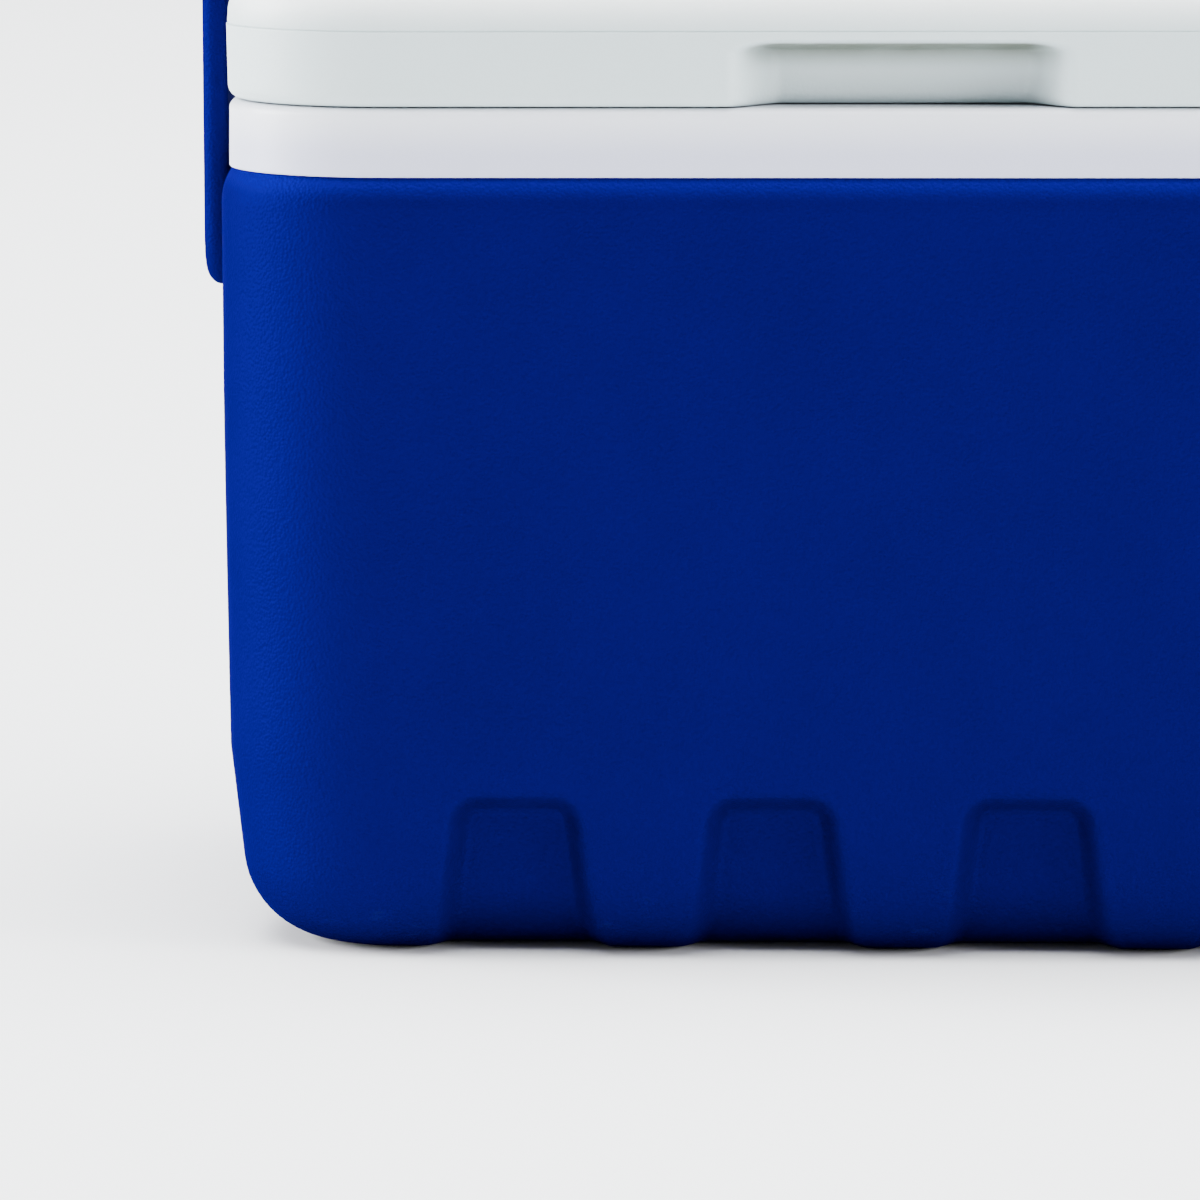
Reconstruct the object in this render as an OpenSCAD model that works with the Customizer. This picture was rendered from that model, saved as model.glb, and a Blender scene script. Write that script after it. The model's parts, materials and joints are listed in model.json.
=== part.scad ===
// Cooler chest with a foamed body, a foamed hinged lid and a swinging bail handle.
// Millimetres. X runs across the front, -Y is the front, +Z is up.
// The origin is the middle of the flat underside, at the level of the floor.

/* [Body] */
// Width of the body across its sides
body_w = 440; // [400:5:540]
// Depth of the body from front to back
body_d = 300; // [260:5:380]
// Height of the body's rim, where the collar sits on it
body_h = 251.8; // [210:0.1:330]
// Radius of the upright corners, seen from above
body_r = 57; // [50:1:75]
// Wall of the outer shell
shell_wall = 2.4; // [1.8:0.1:3.2]
// Height at which the lower wall starts to taper in
taper_z = 63; // [58:1:80]
// Slope of the tapered lower wall, in degrees from upright
taper_deg = 6.4; // [3:0.1:9]
// How far the wall has drawn in where the taper starts
taper_inset = 1.2; // [0:0.1:3]
// Height at which the wall is at its widest
widest_z = 180; // [120:5:190]
// Radius of the rounded bottom edge
base_fillet = 30; // [14:1:32]
// Radius of the rounded shoulder under the collar
shoulder_r = 19; // [16:1:32]
// Height that the shoulder curves through
shoulder_h = 10.2; // [8:0.2:15]

/* [Base notches] */
// Notches along the front, and as many along the back
long_notches = 4; // [2:1:4]
// Notches along each side
side_notches = 2; // [1:1:2]
// Distance from one notch to the next
notch_pitch = 82; // [74:1:86]
// Width of a notch at its top
notch_top_w = 38; // [30:1:46]
// Width of a notch at the floor
notch_bottom_w = 51; // [46:1:60]
// Height of a notch
notch_h = 55; // [36:1:56]
// Depth of a notch into the wall
notch_depth = 10; // [5:0.5:12]
// Radius of a notch's upper corners
notch_r = 8; // [4:0.5:12]

/* [Tub and collar] */
// Thickness of the insulated wall at the rim, from the body's side to the tub
wall_thick = 32.5; // [28:0.5:42]
// Height of the tub's floor above the ground
tub_floor_z = 32; // [28:1:45]
// Corner radius of the tub's mouth
tub_r = 34; // [30:1:46]
// Draft of the tub's walls, in degrees
tub_draft = 2; // [1:0.1:2.5]
// Radius between the tub's walls and its floor
tub_fillet = 14; // [8:1:18]
// Wall of the tub
tub_wall = 2.4; // [1.8:0.1:3.2]
// Height of the collar
collar_h = 21.8; // [18:0.2:30]
// How far the collar stands in from the body's widest outline
collar_inset = 2.6; // [1:0.1:3.4]
// Thickness of the collar's outer skirt
skirt_wall = 5; // [4:0.1:6]
// Thickness of the collar's flat top
deck_wall = 3; // [2:0.1:4]
// Radius of the collar's top edge
collar_edge_r = 3; // [1:0.5:4]

/* [Lid] */
// Gap of the seam between the collar and the lid
seam_gap = 0.4; // [0.3:0.05:1]
// Height of the lid from the seam to its crown
lid_h = 43; // [38:0.5:60]
// How far the lid stands in from the body's widest outline
lid_inset = 2; // [1:0.1:3.4]
// Wall of the lid's cover
lid_wall = 2.4; // [1.8:0.1:3.2]
// Radius of the lid's bottom edge
lid_bottom_r = 4; // [2:0.5:5]
// Height of the parting line round the lid, above the seam
parting_h = 23.6; // [22:0.2:26]
// Radius of the lid's top edge
lid_edge_r = 13; // [8:0.5:16]
// Rise of the lid's crowned top inside its rounded edge
crown_h = 3.2; // [1:0.1:5]
// Distance from the lid's side to the flat of its crown
crown_inset = 52; // [40:1:56]
// Depth that the lid's plug reaches below the collar's top
plug_drop = 12.6; // [8:0.2:20]
// Gap all round between the lid's plug and the tub
plug_gap = 2.5; // [1.5:0.1:4]
// Wall of the lid's pan
pan_wall = 2.4; // [1.8:0.1:3.2]

/* [Finger recess] */
// Width of the recess at the lid's front
recess_front_w = 109; // [90:1:130]
// Width of the recess at its back wall
recess_back_w = 78; // [60:1:88]
// Depth of the recess
recess_depth = 17; // [12:0.5:20]
// Height of the recess above the seam
recess_h = 21; // [16:0.5:22]

/* [Handle] */
// Thickness of the bail
bail_t = 8.5; // [7:0.1:11]
// Width of the bail from front to back
bail_w = 32; // [30:1:36]
// Inner radius of the bail's upper corners
bail_bend_r = 26; // [16:1:40]
// Radius of the long edges on the bail's outer face
bail_edge_r = 5; // [2:0.5:6]
// Depth of the pivot below the body's rim
pivot_drop = 31.8; // [30:0.5:50]
// Gap between the lid's edge and the grip as the bail swings over
grip_clear = 24; // [8:1:40]
// Thickness of the grip in the middle of the bail
grip_t = 16; // [12:0.5:20]
// Length of the grip
grip_l = 120; // [90:5:160]

/* [Pivots] */
// Radius of the moulded boss round each pivot
boss_r = 15; // [13:0.5:15]
// Height of the boss above the body's side
boss_h = 4.2; // [4:0.1:8]
// Outer radius of the bush in the boss
bush_r = 8; // [7:0.5:9]
// Length of the bush into the wall
bush_l = 21; // [16:0.5:22]
// Radius of the shoulder that the bail turns on
shoulder_pin_r = 5.5; // [5:0.1:6]
// Radius of the pivot pin's threaded end
thread_r = 4; // [3:0.1:4.5]
// Radius of the pivot pin's head
head_r = 9; // [8:0.1:10]
// Thickness of the pivot pin's head
head_t = 2.5; // [2:0.1:3.5]
// Thickness of the friction washer
washer_t = 1; // [0.6:0.1:2]
// Radius of the friction washer
washer_r = 12; // [10:0.5:13]

/* [Hinges] */
// Distance of each hinge's middle from the chest's middle
hinge_x = 110; // [60:5:125]
// Length of a hinge
hinge_l = 50; // [40:1:60]
// Thickness of a leaf
leaf_t = 2.4; // [2:0.1:3]
// Radius of the knuckles
knuckle_r = 4.6; // [4.2:0.1:5]
// Radius of the hinge pin
hinge_pin_r = 1.9; // [1.5:0.1:2.2]
// Distance between a leaf's two screws
screw_pitch = 30; // [24:1:34]
// Radius of a screw's shank
screw_r = 1.6; // [1.4:0.1:2]
// Length of a screw under its head
screw_l = 11; // [8:0.5:12]

/* [Foaming plugs] */
// Radius of the large plug's head in the underside
fill_head_r = 16; // [12:0.5:20]
// Distance of the large plug behind the middle
fill_y = 60; // [45:5:75]
// Radius of a vent plug's head
vent_head_r = 6; // [5:0.5:8]
// Distance of each vent plug to the side of the middle
vent_x = 120; // [60:5:140]
// Distance of the vent plugs in front of the middle
vent_y = 55; // [30:5:75]

/* [Fits] */
// Gap round a foam core
foam_gap = 0.25; // [0.2:0.05:0.4]
// Radial gap of a running fit
run_gap = 0.05; // [0.02:0.01:0.1]
// Gap between pieces that must not rub
free_gap = 0.2; // [0.15:0.05:0.4]

/* [Hidden] */
$fn = 64;

blue = [0.0, 0.02, 0.5];
white = [0.86, 0.88, 0.88];
lilac = [0.83, 0.84, 0.88];
foam_yellow = [0.9, 0.85, 0.66];
steel = [0.7, 0.71, 0.72];
acetal = [0.93, 0.93, 0.9];

// A margin by which a cutting body passes the face that it opens
past = 1;
// Steps along the arcs of an outline
arc_steps = 6;

// Levels, worked out upward from the floor
collar_top = body_h + collar_h;
lid_bottom = collar_top + seam_gap;
lid_top = lid_bottom + lid_h;
parting_z = lid_bottom + parting_h;
pivot_z = body_h - pivot_drop;

// Plan sizes of the collar, the lid, the tub and the lid's plug
collar_w = body_w - 2 * collar_inset;
collar_d = body_d - 2 * collar_inset;
collar_r = body_r - collar_inset;
lid_w = body_w - 2 * lid_inset;
lid_d = body_d - 2 * lid_inset;
lid_r = body_r - lid_inset;
tub_w = body_w - 2 * wall_thick;
tub_d = body_d - 2 * wall_thick;

// A point on an arc about [inset, z], measured from straight out of the wall
function on_arc(middle, r, a) = [middle[0] - r * cos(a), middle[1] + r * sin(a)];
function arc(middle, r, from, to) =
    [for (i = [0:arc_steps]) on_arc(middle, r, from + (to - from) * i / arc_steps)];

// ---- Outlines: [inset from the plan outline, z], from the bottom up ----

// Middle of the rounded bottom edge, which meets the floor and the tapered wall
base_arc_top = base_fillet * (1 - sin(taper_deg));
base_middle = [
    taper_inset + (taper_z - base_arc_top) * tan(taper_deg) + base_fillet * cos(taper_deg),
    base_fillet
];
rim_lip = 1.3;
shoulder_z = body_h - shoulder_h - rim_lip;
shoulder_deg = asin(shoulder_h / shoulder_r);
rim_inset = shoulder_r * (1 - cos(shoulder_deg)) + 0.8;

// The body's outline, drawn in by g all along
function body_outline(g, top) = concat(
    arc(base_middle, base_fillet - g, -90, -taper_deg),
    [[taper_inset + g, taper_z], [g, widest_z]],
    arc([shoulder_r, shoulder_z], shoulder_r - g, 0, shoulder_deg),
    [[rim_inset + g, body_h], [rim_inset + g, top]]
);

// The tub's outline, grown outward by g, from the given floor up to the given top
tub_slope = tan(tub_draft);
tub_arc_z = tub_floor_z + tub_fillet;
tub_arc_inset = (collar_top - tub_arc_z) * tub_slope + tub_fillet;
function tub_outline(g, top) = concat(
    arc([tub_arc_inset, tub_arc_z], tub_fillet + g, -90, 0),
    [[(collar_top - top) * tub_slope - g, top]]
);

collar_arc = arc([collar_edge_r + 0.2, collar_top - collar_edge_r], collar_edge_r, 0, 90);
collar_outline = concat([[0, body_h]], collar_arc);

// The lid's outline above its bottom edge, drawn in by g
lid_arc_inset = lid_edge_r + 0.5;
lid_arc_z = lid_top - crown_h - lid_edge_r * sin(80);
lid_arc_end = lid_arc_inset - lid_edge_r * cos(80);
function crown(g) = [
    for (i = [1:arc_steps])
        let (t = i / arc_steps)
            [lid_arc_end + (crown_inset - lid_arc_end) * t, lid_top - g - crown_h * (1 - t) * (1 - t)]
];
function lid_upper(g) = concat(
    [[g, parting_z], [0.3 + g, parting_z + 0.4]],
    arc([lid_arc_inset, lid_arc_z], lid_edge_r - g, 0, 80),
    crown(g)
);
lid_outline = concat(
    arc([lid_bottom_r + 0.4, lid_bottom + lid_bottom_r], lid_bottom_r, -90, 0),
    lid_upper(0)
);

// The pan's flange is held under a ledge inside the lid's cover
pan_bottom = lid_bottom + 0.5;
pan_top = pan_bottom + pan_wall;
ledge_w = 4;
ledge_t = 1.8;
lid_inner = 0.4 + lid_wall;
lid_cavity = concat(
    [[lid_inner, lid_bottom - past], [lid_inner, pan_top], [lid_inner + ledge_w, pan_top],
     [lid_inner + ledge_w, pan_top + ledge_t], [lid_inner, pan_top + ledge_t]],
    lid_upper(lid_wall)
);

// ---- Forms ----

// A solid whose side outline runs round a rounded rectangle
module swept_block(w, d, r, outline) {
    bottom = outline[0][1];
    top = outline[len(outline) - 1][1];
    core = concat([[0, bottom]], [for (p = outline) [r - p[0], p[1]]], [[0, top]]);
    corners = [[1, 1, 0], [-1, 1, 90], [-1, -1, 180], [1, -1, 270]];
    for (c = corners)
        translate([c[0] * (w / 2 - r), c[1] * (d / 2 - r), 0])
            rotate([0, 0, c[2]])
                rotate_extrude(angle = 90)
                    polygon(core);
    rotate([90, 0, 90])
        linear_extrude(height = w - 2 * r, center = true)
            polygon(both_sides(d, outline));
    rotate([90, 0, 0])
        linear_extrude(height = d - 2 * r, center = true)
            polygon(both_sides(w, outline));
}
function both_sides(across, outline) = concat(
    [for (p = outline) [across / 2 - p[0], p[1]]],
    [for (i = [len(outline) - 1:-1:0]) [outline[i][0] - across / 2, outline[i][1]]]
);

// The face of one notch, grown outward by g, standing on the floor
function notch_face(g) =
    let (
        x = notch_top_w / 2 - notch_r,
        z = notch_h - notch_r,
        quarter = [for (i = [0:arc_steps])
            let (a = 90 * i / arc_steps) [x + (notch_r + g) * cos(a), z + (notch_r + g) * sin(a)]]
    )
    concat(
        [[notch_bottom_w / 2 + g, -past]], quarter,
        [for (i = [arc_steps:-1:0]) [-quarter[i][0], quarter[i][1]]],
        [[-notch_bottom_w / 2 - g, -past]]
    );
module notch_row(count, wall_y, g) {
    for (i = [0:count - 1])
        translate([(i - (count - 1) / 2) * notch_pitch, wall_y + notch_depth + base_middle[0] + g, 0])
            rotate([90, 0, 0])
                linear_extrude(height = notch_depth + base_middle[0] + g + past)
                    polygon(notch_face(g));
}

// The body's solid form drawn in by g, with its notches
module body_form(g, top) {
    difference() {
        swept_block(body_w, body_d, body_r, body_outline(g, top));
        for (a = [0, 180]) {
            rotate([0, 0, a])
                notch_row(long_notches, -body_d / 2, g);
            rotate([0, 0, a + 90])
                notch_row(side_notches, -body_w / 2, g);
        }
    }
    swept_block(body_w - 2 * notch_depth, body_d - 2 * notch_depth, body_r - notch_depth,
        body_outline(g, top));
}

module tub_form(g, top) {
    swept_block(tub_w, tub_d, tub_r, tub_outline(g, top));
}

// The hollow under the collar's top, drawn in by g, which the foam fills. The skirt is at
// least thick enough to cover the shell's rim.
module collar_hollow(g) {
    in = max(skirt_wall, rim_inset + shell_wall - collar_inset) + g;
    swept_block(collar_w, collar_d, collar_r, [[in, body_h - past], [in, collar_top - deck_wall]]);
}

// The finger recess, grown by g
recess_slope = (recess_front_w - recess_back_w) / 2 / recess_depth;
recess_grow = sqrt(1 + recess_slope * recess_slope);
function recess_half(y, g) = recess_front_w / 2 + recess_grow * g - recess_slope * y;
module finger_recess(g) {
    front = -past - lid_inset;
    back = recess_depth + g;
    translate([0, -lid_d / 2, pan_bottom - plug_drop])
        linear_extrude(height = plug_drop + recess_h + g)
            polygon([
                [-recess_half(front, g), front], [recess_half(front, g), front],
                [recess_half(back, g), back], [-recess_half(back, g), back]
            ]);
}

// The lid's plug drawn in by g, from the given floor up to the given top
plug_w = tub_w - 2 * plug_gap;
plug_d = tub_d - 2 * plug_gap;
plug_r = tub_r - plug_gap;
plug_bottom = collar_top - plug_drop;
plug_taper = 1.5;
plug_fillet = 5;
module plug_form(g, top) {
    swept_block(plug_w, plug_d, plug_r, concat(
        arc([plug_taper + plug_fillet, plug_bottom + plug_fillet], plug_fillet - g, -90, 0),
        [[g, pan_bottom], [g, top]]
    ));
}

// A cylinder along X from x0 to x1, at a pivot
module pivot_round(side, r, x0, x1) {
    translate([side * x0, 0, pivot_z])
        rotate([0, side * 90, 0])
            cylinder(r = r, h = x1 - x0);
}

// ---- Pivots: places along X, outward from the body's wall ----
boss_face = body_w / 2 + boss_h;
washer_face = boss_face + washer_t;
arm_in = washer_face + free_gap;
arm_out = arm_in + bail_t;
bush_end = boss_face - bush_l;
bush_flange_r = 13;
bush_flange_t = 2;
bush_flange_out = body_w / 2 - shell_wall;
head_out = arm_out - free_gap;
head_in = head_out - head_t;
head_seat = head_in - free_gap;
thread_l = 16;

// ---- Hinges: places along Y, outward from the collar's back ----
hinge_y = collar_d / 2 + knuckle_r + 0.4;
hinge_z = lid_bottom;
body_leaf_y = collar_d / 2 + 0.05;
lid_leaf_y = lid_d / 2 + 0.05;
end_knuckle_l = 12;
leaf_start = knuckle_r + 0.9;
leaf_h = 17;
body_screw_z = hinge_z - 13;
lid_screw_z = hinge_z + 14.5;
screw_boss_r = 4.2;
screw_boss_l = screw_l - 0.8;
screw_head_r = 3.2;
screw_head_t = 1.6;

// ---- Plugs in the underside and in the lid's pan ----
plug_ring = 4;
plug_ring_h = 5;
plug_head_t = 1.6;
plug_sunk = 0.4;
plug_lip = 4;
lid_fill_y = 40;
vent_places = [for (side = [-1, 1]) [side * vent_x, -vent_y]];

// A ring that stiffens a floor round a plug, grown by g
module plug_ring_form(head_r, g) {
    cylinder(r = head_r + plug_ring + g, h = plug_ring_h + g);
}
// The stepped hole for a plug
module plug_hole(head_r) {
    translate([0, 0, -past])
        cylinder(r = head_r - plug_lip + run_gap, h = plug_ring_h + 2 * past);
    translate([0, 0, -past])
        cylinder(r = head_r + free_gap, h = past + plug_sunk + plug_head_t);
}
module plug(head_r) {
    translate([0, 0, plug_sunk])
        cylinder(r = head_r, h = plug_head_t);
    translate([0, 0, plug_sunk + plug_head_t - 0.2])
        cylinder(r = head_r - plug_lip, h = plug_ring_h - plug_sunk - plug_head_t + 0.2);
}

// ---- Body ----

module outer_shell() color(blue) {
    difference() {
        union() {
            difference() {
                body_form(0, body_h);
                body_form(shell_wall, body_h + past);
            }
            for (side = [-1, 1])
                pivot_round(side, boss_r, body_w / 2 - shell_wall, boss_face);
            translate([0, fill_y, 0])
                plug_ring_form(fill_head_r, 0);
            for (p = vent_places)
                translate(p)
                    plug_ring_form(vent_head_r, 0);
        }
        for (side = [-1, 1])
            pivot_round(side, bush_r + run_gap, body_w / 2 - shell_wall - past, boss_face + past);
        translate([0, fill_y, 0])
            plug_hole(fill_head_r);
        for (p = vent_places)
            translate(p)
                plug_hole(vent_head_r);
    }
}

module foam_core() color(foam_yellow) {
    difference() {
        union() {
            body_form(shell_wall + foam_gap, body_h);
            collar_hollow(foam_gap);
            translate([0, 0, shell_wall + 2])
                cube([tub_w - 4 * tub_fillet, tub_d - 4 * tub_fillet, 4], center = true);
        }
        tub_form(tub_wall + foam_gap, collar_top);
        for (side = [-1, 1]) {
            pivot_round(side, bush_r + foam_gap, bush_end - foam_gap, boss_face);
            pivot_round(side, bush_flange_r + foam_gap,
                bush_flange_out - bush_flange_t - foam_gap, boss_face);
        }
        translate([0, fill_y, 0])
            plug_ring_form(fill_head_r, foam_gap);
        for (p = vent_places)
            translate(p)
                plug_ring_form(vent_head_r, foam_gap);
        body_screw_rounds(screw_boss_r + foam_gap, 0, screw_boss_l + skirt_wall + foam_gap);
    }
}

module liner() color(lilac) {
    difference() {
        union() {
            difference() {
                swept_block(collar_w, collar_d, collar_r, collar_outline);
                collar_hollow(0);
            }
            tub_form(tub_wall, collar_top - collar_edge_r);
            body_screw_rounds(screw_boss_r, 1, screw_boss_l);
        }
        tub_form(0, collar_top + past);
        body_screw_rounds(screw_r + run_gap, -past, screw_l);
    }
}

module foam_fill_plug() color(blue) {
    translate([0, fill_y, 0])
        plug(fill_head_r);
}

module foam_vent_plugs() color(blue) {
    for (p = vent_places)
        translate(p)
            plug(vent_head_r);
}

module pivot_bush(side) color(acetal) {
    difference() {
        union() {
            pivot_round(side, bush_r, bush_end, boss_face);
            pivot_round(side, bush_flange_r, bush_flange_out - bush_flange_t, bush_flange_out);
        }
        pivot_round(side, thread_r + run_gap, boss_face - thread_l - past, boss_face + past);
    }
}

module pivot_pin(side) color(steel) {
    difference() {
        union() {
            pivot_round(side, thread_r, boss_face - thread_l, boss_face);
            pivot_round(side, shoulder_pin_r, boss_face, head_in);
            pivot_round(side, head_r, head_in, head_out);
        }
        translate([side * (head_out - 1.6), 0, pivot_z])
            rotate([0, side * 90, 0])
                cylinder(r = 3.5, h = 1.6 + past, $fn = 6);
    }
}

module friction_washer(side) color(acetal) {
    difference() {
        pivot_round(side, washer_r, boss_face, washer_face);
        pivot_round(side, shoulder_pin_r + free_gap, boss_face - past, washer_face + past);
    }
}

// ---- Hinges ----

// Rounds along Y at every screw of the collar or of the lid, inward from depth y0 to y1
module screw_rounds(z, wall_y, r, y0, y1) {
    for (side = [-1, 1], i = [-0.5, 0.5])
        translate([side * hinge_x + i * screw_pitch, wall_y - y0, z])
            rotate([90, 0, 0])
                cylinder(r = r, h = y1 - y0);
}
module body_screw_rounds(r, y0, y1) {
    screw_rounds(body_screw_z, collar_d / 2, r, y0, y1);
}
module lid_screw_rounds(r, y0, y1) {
    screw_rounds(lid_screw_z, lid_d / 2, r, y0, y1);
}

// A knuckle between two places along the hinge
module knuckle(x0, x1) {
    translate([x0, hinge_y, hinge_z])
        rotate([0, 90, 0])
            cylinder(r = knuckle_r, h = x1 - x0);
}
middle_l = hinge_l / 2 - end_knuckle_l;
// The flat of a leaf: up is 1 for the lid's and -1 for the body's
module leaf_flat(y, up) {
    z0 = hinge_z + up * leaf_start;
    translate([-hinge_l / 2, y, min(z0, z0 + up * leaf_h)])
        cube([hinge_l, leaf_t, leaf_h]);
}
// The web that joins a knuckle to its leaf
module leaf_web(x0, x1, y, up) {
    reach = leaf_start + past;
    translate([x0, y, up > 0 ? hinge_z : hinge_z - reach])
        cube([x1 - x0, leaf_t, reach]);
}
module leaf_holes(y, z) {
    for (i = [-0.5, 0.5])
        translate([i * screw_pitch, y - past, z])
            rotate([-90, 0, 0])
                cylinder(r = screw_r + free_gap, h = leaf_t + 2 * past);
}
module pin_bore() {
    translate([-hinge_l / 2 - past, hinge_y, hinge_z])
        rotate([0, 90, 0])
            cylinder(r = hinge_pin_r + run_gap, h = hinge_l + 2 * past);
}

module hinge_body_leaf(side) color(lilac) {
    translate([side * hinge_x, 0, 0])
        difference() {
            union() {
                leaf_flat(body_leaf_y, -1);
                for (end = [0, 1])
                    mirror([end, 0, 0]) {
                        knuckle(middle_l + free_gap, hinge_l / 2);
                        leaf_web(middle_l + free_gap, hinge_l / 2, body_leaf_y, -1);
                    }
            }
            pin_bore();
            leaf_holes(body_leaf_y, body_screw_z);
        }
}

module hinge_lid_leaf(side) color(white) {
    translate([side * hinge_x, 0, 0])
        difference() {
            union() {
                leaf_flat(lid_leaf_y, 1);
                knuckle(-middle_l, middle_l);
                leaf_web(-middle_l, middle_l, lid_leaf_y, 1);
            }
            pin_bore();
            leaf_holes(lid_leaf_y, lid_screw_z);
        }
}

module hinge_pin(side) color(steel) {
    head = 0.8;
    translate([side * hinge_x - hinge_l / 2, hinge_y, hinge_z])
        rotate([0, 90, 0]) {
            cylinder(r = hinge_pin_r, h = hinge_l);
            for (z = [-head, hinge_l])
                translate([0, 0, z])
                    cylinder(r = hinge_pin_r + 0.8, h = head);
        }
}

module screws(z, wall_y) {
    for (side = [-1, 1], i = [-0.5, 0.5])
        translate([side * hinge_x + i * screw_pitch, wall_y + 0.05 + leaf_t, z])
            rotate([90, 0, 0])
                difference() {
                    union() {
                        cylinder(r = screw_r, h = screw_l);
                        translate([0, 0, -screw_head_t])
                            cylinder(r = screw_head_r, h = screw_head_t);
                    }
                    for (a = [0, 90])
                        rotate([0, 0, a])
                            translate([-1.8, -0.4, -screw_head_t - past])
                                cube([3.6, 0.8, past + 0.9]);
                }
}
module hinge_body_screws() color(steel)
    screws(body_screw_z, collar_d / 2);
module hinge_lid_screws() color(steel)
    screws(lid_screw_z, lid_d / 2);

// ---- Lid ----

module lid_cover() color(white) {
    difference() {
        union() {
            difference() {
                swept_block(lid_w, lid_d, lid_r, lid_outline);
                difference() {
                    swept_block(lid_w, lid_d, lid_r, lid_cavity);
                    finger_recess(lid_wall);
                }
            }
            lid_screw_rounds(screw_boss_r, 1, screw_boss_l);
        }
        finger_recess(0);
        lid_screw_rounds(screw_r + run_gap, -past, screw_l);
    }
}

module lid_foam() color(foam_yellow) {
    in = lid_wall + foam_gap;
    low = pan_top + ledge_t + foam_gap;
    difference() {
        union() {
            swept_block(lid_w, lid_d, lid_r, concat([[in + 0.4, low]], lid_upper(in)));
            plug_form(pan_wall + foam_gap, low + past);
            translate([0, 0, plug_bottom + pan_wall + 2])
                cube([plug_w - 4 * tub_fillet, plug_d - 4 * tub_fillet, 4], center = true);
        }
        finger_recess(in);
        lid_screw_rounds(screw_boss_r + foam_gap, 0, screw_boss_l + lid_wall + foam_gap);
        translate([0, lid_fill_y, plug_bottom])
            plug_ring_form(vent_head_r, foam_gap);
    }
}

module lid_pan() color(white) {
    in = lid_inner + foam_gap;
    difference() {
        union() {
            difference() {
                union() {
                    swept_block(lid_w, lid_d, lid_r, [[in, pan_bottom], [in, pan_top]]);
                    plug_form(0, pan_top);
                }
                plug_form(pan_wall, pan_top + past);
                finger_recess(lid_wall + foam_gap);
            }
            translate([0, lid_fill_y, plug_bottom])
                plug_ring_form(vent_head_r, 0);
        }
        translate([0, lid_fill_y, plug_bottom])
            plug_hole(vent_head_r);
    }
}

module lid_fill_plug() color(white) {
    translate([0, lid_fill_y, plug_bottom])
        plug(vent_head_r);
}

// ---- Handle ----

// The grip swings clear of the lid's rounded edge
lid_reach = norm([lid_d / 2 - lid_arc_inset, lid_arc_z - pivot_z]) + lid_edge_r;
grip_under = pivot_z + lid_reach + grip_clear;
bail_top = grip_under + grip_t;
bend_z = bail_top - bail_t - bail_bend_r;
bend_x = arm_in - bail_bend_r;

// Half of the bail's section: [across, outward], with rounded outer edges
function bail_half() = [
    for (i = [0:arc_steps])
        let (a = 90 * i / arc_steps)
            [bail_w / 2 - bail_edge_r + bail_edge_r * sin(a), bail_t - bail_edge_r + bail_edge_r * cos(a)]
];
function bail_section(out) = concat(
    [[-bail_w / 2, out]],
    [for (i = [arc_steps:-1:0]) [-bail_half()[i][0], out + bail_half()[i][1]]],
    [for (p = bail_half()) [p[0], out + p[1]]],
    [[bail_w / 2, out]]
);
// The rounded end of an arm, turned about the pivot
module arm_end() {
    rotate_extrude()
        polygon(concat(
            [[0, 0], [bail_w / 2, 0]],
            [for (i = [arc_steps:-1:0]) bail_half()[i]],
            [[0, bail_t]]
        ));
}
module arm(side) {
    translate([side * arm_in, 0, pivot_z])
        rotate([0, side * 90, 0])
            arm_end();
    translate([0, 0, pivot_z])
        rotate([0, 0, -side * 90])
            linear_extrude(height = bend_z - pivot_z)
                polygon(bail_section(arm_in));
    translate([side * bend_x, 0, bend_z])
        rotate([90, 0, side > 0 ? 0 : 180])
            rotate_extrude(angle = 90)
                polygon([for (p = bail_section(bail_bend_r)) [p[1], p[0]]]);
}

module handle_bail() color(blue) {
    difference() {
        union() {
            for (side = [-1, 1])
                arm(side);
            translate([0, 0, bail_top - bail_t])
                rotate([90, 0, 90])
                    linear_extrude(height = 2 * bend_x, center = true)
                        polygon(bail_section(0));
            rotate([90, 0, 90])
                linear_extrude(height = grip_l, center = true)
                    grip_section();
        }
        for (side = [-1, 1]) {
            pivot_round(side, shoulder_pin_r + run_gap, arm_in - past, arm_out + past);
            pivot_round(side, head_r + free_gap, head_seat, arm_out + past);
        }
    }
}
// The underside of the grip, with rounded lower edges
module grip_section() {
    r = 6;
    half = bail_w / 2 - 1;
    quarter = [for (i = [0:arc_steps])
        let (a = 90 * i / arc_steps) [half - r + r * cos(a), grip_under + r - r * sin(a)]];
    polygon(concat(
        [[-half, bail_top - bail_edge_r], [half, bail_top - bail_edge_r]], quarter,
        [for (i = [arc_steps:-1:0]) [-quarter[i][0], quarter[i][1]]]
    ));
}

outer_shell();
foam_core();
liner();
foam_fill_plug();
foam_vent_plugs();
pivot_bush(-1);  // pivot_bush_left
pivot_bush(1);  // pivot_bush_right
pivot_pin(-1);  // pivot_pin_left
pivot_pin(1);  // pivot_pin_right
friction_washer(-1);  // friction_washer_left
friction_washer(1);  // friction_washer_right
hinge_body_leaf(-1);  // hinge_body_leaf_left
hinge_body_leaf(1);  // hinge_body_leaf_right
hinge_pin(-1);  // hinge_pin_left
hinge_pin(1);  // hinge_pin_right
hinge_body_screws();
lid_cover();
lid_foam();
lid_pan();
lid_fill_plug();
hinge_lid_leaf(-1);  // hinge_lid_leaf_left
hinge_lid_leaf(1);  // hinge_lid_leaf_right
hinge_lid_screws();
handle_bail();
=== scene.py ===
import json
import math

import bmesh
import bpy
import numpy as np
from mathutils import Matrix, Vector


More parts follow.
